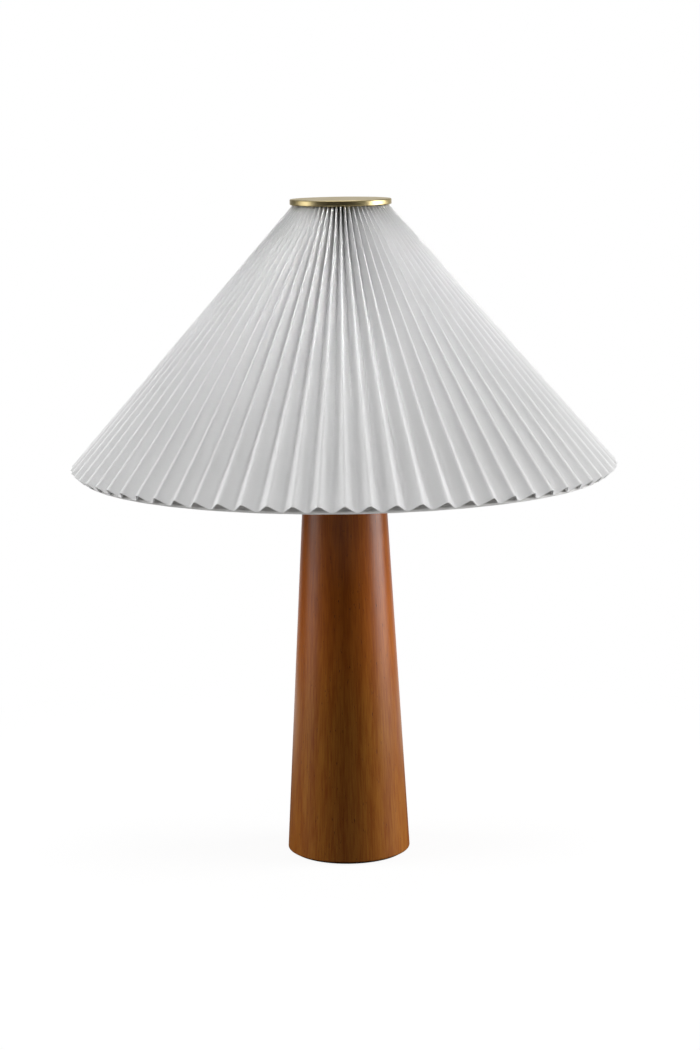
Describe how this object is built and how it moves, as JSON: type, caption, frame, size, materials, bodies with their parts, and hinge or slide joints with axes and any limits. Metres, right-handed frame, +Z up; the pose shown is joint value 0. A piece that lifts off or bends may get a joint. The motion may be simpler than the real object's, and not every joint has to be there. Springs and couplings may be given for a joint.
{
  "type": "table lamp",
  "caption": "Table lamp with a tapered turned wood column, a pleated conical fabric shade on a harp and a round brass cap; screw bulb with a turn switch.",
  "frame": {"origin": "middle of the felt pad's underside, on the table", "axes": "+Z up along the column; -Y is the front, with the switch knob; the cord inlet faces +Y; the harp lies in the XZ plane"},
  "size_m": [0.4064, 0.4064, 0.4932],
  "materials": {
    "walnut": "satin",
    "foot_felt": "matte",
    "iron": "matte",
    "zinc_steel": "satin",
    "satin_brass": "satin",
    "bright_brass": "polished",
    "bushing_black": "matte",
    "phenolic": "gloss",
    "liner_card": "matte",
    "knob_black": "gloss",
    "bulb_glass": "satin",
    "bulb_metal": "satin",
    "bulb_black_glass": "gloss",
    "pleated_cloth": "matte",
    "lining_cloth": "matte",
    "white_wire": "gloss",
    "washer_felt": "matte"
  },
  "bodies": {
    "base": {"felt_pad": "foot_felt", "wood_body": "walnut", "cord_bushing": "bushing_black", "ballast_weight": "iron", "lower_washer": "zinc_steel", "lower_nut": "zinc_steel", "lamp_pipe": "zinc_steel", "check_ring": "bright_brass", "harp_saddle": "bright_brass", "upper_nut": "zinc_steel", "socket_cap": "bright_brass", "socket_shell": "bright_brass", "shell_insulator": "liner_card", "socket_core": "phenolic", "terminal_screws": "bright_brass", "screw_shell": "bulb_metal", "centre_contact": "bright_brass"},
    "switch": {"switch_shaft": "zinc_steel", "switch_knob": "knob_black"},
    "bulb_tip": {"bulb_contact": "bulb_metal"},
    "bulb": {"bulb_insulator": "bulb_black_glass", "bulb_screw_base": "bulb_metal", "bulb_globe": "bulb_glass"},
    "harp": {"harp_frame": "bright_brass"},
    "sleeve_left": {"harp_sleeve_left": "bright_brass"},
    "sleeve_right": {"harp_sleeve_right": "bright_brass"},
    "swivel": {"harp_stud": "bright_brass"},
    "shade": {"pleated_skin": "pleated_cloth", "shade_liner": "lining_cloth", "shade_hem": "lining_cloth", "shade_bottom_ring": "white_wire", "shade_fitter": "white_wire"},
    "cap_underlay": {"cap_washer": "washer_felt"},
    "cap": {"cap_hub": "satin_brass", "cap_disc": "satin_brass"}
  },
  "joints": [
    {"name": "switch_turn", "type": "hinge", "parent": "base", "child": "switch", "pos_m": [0, -0.02, 0.331], "axis": [0, -1, 0], "continuous": true},
    {"name": "bulb_rise", "type": "slide", "parent": "base", "child": "bulb_tip", "axis": [0, 0, 1], "range_m": [0, 0.01815]},
    {"name": "bulb_turn", "type": "hinge", "parent": "bulb_tip", "child": "bulb", "pos_m": [0, 0, 0.36], "axis": [0, 0, 1], "range_deg": [0, 1800]},
    {"name": "harp_lift", "type": "slide", "parent": "base", "child": "harp", "axis": [0, 0, 1], "range_m": [0, 0.015]},
    {"name": "sleeve_left_lift", "type": "slide", "parent": "harp", "child": "sleeve_left", "axis": [0, 0, 1], "range_m": [0, 0.01]},
    {"name": "sleeve_right_lift", "type": "slide", "parent": "harp", "child": "sleeve_right", "axis": [0, 0, 1], "range_m": [0, 0.01]},
    {"name": "shade_turn", "type": "hinge", "parent": "harp", "child": "swivel", "pos_m": [0, 0, 0.478], "axis": [0, 0, 1], "continuous": true},
    {"name": "shade_lift", "type": "slide", "parent": "swivel", "child": "shade", "axis": [0, 0, 1], "range_m": [0, 0.205]},
    {"name": "cap_rise", "type": "slide", "parent": "shade", "child": "cap_underlay", "axis": [0, 0, 1], "range_m": [0, 0.00753]},
    {"name": "cap_turn", "type": "hinge", "parent": "cap_underlay", "child": "cap", "pos_m": [0, 0, 0.49], "axis": [0, 0, 1], "range_deg": [0, 2880]}
  ],
  "couplings": [
    {"joint": "bulb_rise", "follows": "bulb_turn", "m_per_rad": 0.00057773},
    {"joint": "cap_rise", "follows": "cap_turn", "m_per_rad": 0.00014977}
  ]
}
